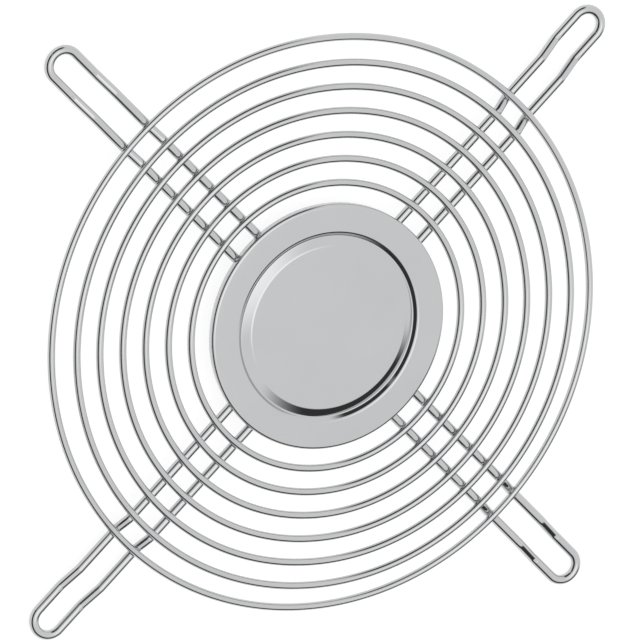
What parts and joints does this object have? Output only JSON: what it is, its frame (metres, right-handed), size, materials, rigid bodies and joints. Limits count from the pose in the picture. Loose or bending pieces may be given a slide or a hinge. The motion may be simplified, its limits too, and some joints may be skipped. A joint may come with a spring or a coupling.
{
  "type": "wire fan guard",
  "caption": "Welded wire finger guard for an axial fan: concentric rings on crossed hairpin legs, with a grooved disc over the hub.",
  "frame": {"origin": "on the fan's axis, in the plane on which the four screw loops lie", "axes": "+Z along the fan's axis, out of the fan; the legs run along X and Y, so the square of screws stands on its corner"},
  "size_m": [0.1662, 0.1662, 0.0057],
  "materials": {
    "disc_plate": "bright nickel-chrome plate on pressed sheet steel",
    "ring_wire": "bright nickel-chrome plate on drawn steel wire",
    "leg_wire": "bright nickel-chrome plate on drawn steel wire"
  },
  "bodies": {
    "root": {"hub_disc": "disc_plate", "outer_ring": "ring_wire", "ring_2": "ring_wire", "ring_3": "ring_wire", "ring_4": "ring_wire", "ring_5": "ring_wire", "ring_6": "ring_wire", "inner_ring": "ring_wire", "leg_right": "leg_wire", "leg_back": "leg_wire", "leg_left": "leg_wire", "leg_front": "leg_wire"}
  },
  "joints": []
}
